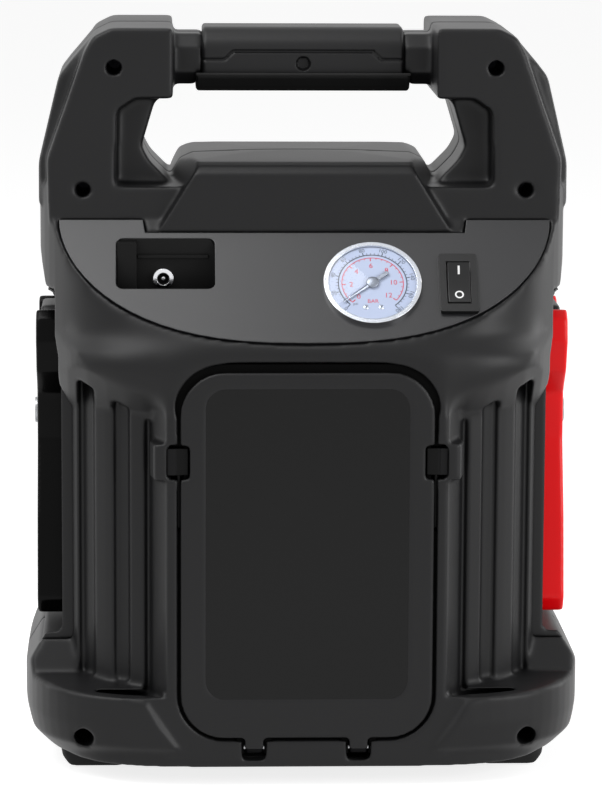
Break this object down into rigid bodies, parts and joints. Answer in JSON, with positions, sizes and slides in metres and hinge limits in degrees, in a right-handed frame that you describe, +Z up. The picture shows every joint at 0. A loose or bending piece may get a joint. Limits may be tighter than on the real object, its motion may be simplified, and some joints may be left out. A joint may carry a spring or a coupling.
{
  "type": "jump starter pack",
  "caption": "Portable battery pack for starting a car, with carry handle, pressure gauge, charging jack, hose door, side clamps, power socket and work light.",
  "frame": {"origin": "centre of the floor rectangle under the feet, on the plane where the two housing halves meet", "axes": "+Z up, -Y out of the face with the gauge and hose door, +X to the right of a person who looks at that face"},
  "size_m": [0.256, 0.201, 0.3374],
  "materials": {
    "charcoal_plastic": "fine grained",
    "panel_plastic": "satin",
    "inner_plastic": "satin",
    "soft_rubber": "matt",
    "black_steel": "blackened",
    "steel": "brushed",
    "brass": "machined",
    "label": "gloss film",
    "chrome_trim": "bright",
    "dial": "printed",
    "clear": "clear",
    "black_gloss": "gloss",
    "battery_case": "matt",
    "lead": "cast",
    "alloy": "cast",
    "board": "lacquered",
    "lamp": "clear resin",
    "key_grey": "satin",
    "key_orange": "satin",
    "red_plastic": "gloss",
    "copper": "copper plated"
  },
  "bodies": {
    "housing": {"rear_housing": "charcoal_plastic", "front_housing": "charcoal_plastic", "rear_panel": "panel_plastic", "front_panel": "panel_plastic", "grip_cover": "charcoal_plastic", "grip_pad": "soft_rubber", "feet": "soft_rubber", "housing_screws": "black_steel", "hose_bay": "inner_plastic", "bay_hinge_pins": "steel", "hose_fitting": "brass", "gauge_case": "chrome_trim", "gauge_dial": "dial", "gauge_screws": "steel", "gauge_lens": "clear", "compressor_switch_frame": "black_gloss", "jack_recess": "inner_plastic", "charge_jack": "chrome_trim", "charge_jack_pin": "chrome_trim", "battery": "battery_case", "battery_terminals": "lead", "battery_strap": "steel", "compressor_motor": "steel", "compressor_gearcase": "inner_plastic", "compressor_cylinder": "alloy", "compressor_head": "alloy", "circuit_board": "board", "status_lights": "lamp", "light_reflector": "chrome_trim", "light_leds": "lamp", "light_lens": "clear", "main_switch_base": "black_gloss", "socket_shell": "inner_plastic", "socket_barrel": "steel", "socket_contact": "brass", "clamp_docks": "charcoal_plastic", "cable_glands": "soft_rubber"},
    "door": {"hose_door": "charcoal_plastic", "label_plate": "label"},
    "latch_left": {"door_latch_left": "charcoal_plastic"},
    "latch_right": {"door_latch_right": "charcoal_plastic"},
    "needle": {"gauge_needle": "steel"},
    "rocker": {"compressor_switch_rocker": "black_gloss"},
    "knob": {"main_switch_knob": "red_plastic"},
    "test_key": {"test_button": "key_grey"},
    "light_key": {"light_button": "key_orange"},
    "cap": {"socket_cap": "inner_plastic"},
    "black_clamp": {"black_clamp_grip": "black_gloss", "black_clamp_pin": "steel", "black_clamp_spring": "steel", "black_clamp_fixed_jaw": "copper"},
    "black_clamp_half": {"black_clamp_lever": "black_gloss", "black_clamp_moving_jaw": "copper"},
    "red_clamp": {"red_clamp_grip": "red_plastic", "red_clamp_pin": "steel", "red_clamp_spring": "steel", "red_clamp_fixed_jaw": "copper"},
    "red_clamp_half": {"red_clamp_lever": "red_plastic", "red_clamp_moving_jaw": "copper"}
  },
  "joints": [
    {"name": "door_swing", "type": "hinge", "parent": "housing", "child": "door", "pos_m": [0, -0.0935, 0.0175], "axis": [1, 0, 0], "range_deg": [0, 90]},
    {"name": "latch_left_press", "type": "slide", "parent": "housing", "child": "latch_left", "axis": [-1, 0, 0], "range_m": [0, 0.0025], "stiffness_N_per_m": 400, "springref_m": -0.001},
    {"name": "latch_right_press", "type": "slide", "parent": "housing", "child": "latch_right", "axis": [1, 0, 0], "range_m": [0, 0.0025], "stiffness_N_per_m": 400, "springref_m": -0.001},
    {"name": "gauge_needle_turn", "type": "hinge", "parent": "housing", "child": "needle", "pos_m": [0.0295, -0.0733, 0.2247], "axis": [0, 0.7385, -0.6743], "range_deg": [0, 270], "stiffness_Nm_per_rad": 0.0002, "springref_deg": -5.73},
    {"name": "compressor_switch_tilt", "type": "hinge", "parent": "housing", "child": "rocker", "pos_m": [0.068, -0.07145, 0.22301], "axis": [-1, 0, 0], "range_deg": [0, 24]},
    {"name": "main_switch_turn", "type": "hinge", "parent": "housing", "child": "knob", "pos_m": [0, 0.06678, 0.22605], "axis": [0, 0.7385, 0.6743], "range_deg": [0, 90]},
    {"name": "test_button_press", "type": "slide", "parent": "housing", "child": "test_key", "axis": [0, -0.7385, -0.6743], "range_m": [0, 0.0015], "stiffness_N_per_m": 600, "springref_m": -0.001},
    {"name": "light_button_press", "type": "slide", "parent": "housing", "child": "light_key", "axis": [0, -0.7385, -0.6743], "range_m": [0, 0.0015], "stiffness_N_per_m": 600, "springref_m": -0.001},
    {"name": "socket_cap_flip", "type": "hinge", "parent": "housing", "child": "cap", "pos_m": [0.062, 0.0556, 0.2417], "axis": [1, 0, 0], "range_deg": [0, 110], "stiffness_Nm_per_rad": 0.01, "springref_deg": -28.65},
    {"name": "black_clamp_off", "type": "slide", "parent": "housing", "child": "black_clamp", "axis": [-1, 0, 0], "range_m": [0, 0.06]},
    {"name": "black_clamp_open", "type": "hinge", "parent": "black_clamp", "child": "black_clamp_half", "pos_m": [-0.1145, 0, 0.156], "axis": [-1, 0, 0], "range_deg": [0, 20], "stiffness_Nm_per_rad": 0.8, "springref_deg": -17.19},
    {"name": "red_clamp_off", "type": "slide", "parent": "housing", "child": "red_clamp", "axis": [1, 0, 0], "range_m": [0, 0.06]},
    {"name": "red_clamp_open", "type": "hinge", "parent": "red_clamp", "child": "red_clamp_half", "pos_m": [0.1145, 0, 0.156], "axis": [-1, 0, 0], "range_deg": [0, 20], "stiffness_Nm_per_rad": 0.8, "springref_deg": -17.19}
  ]
}
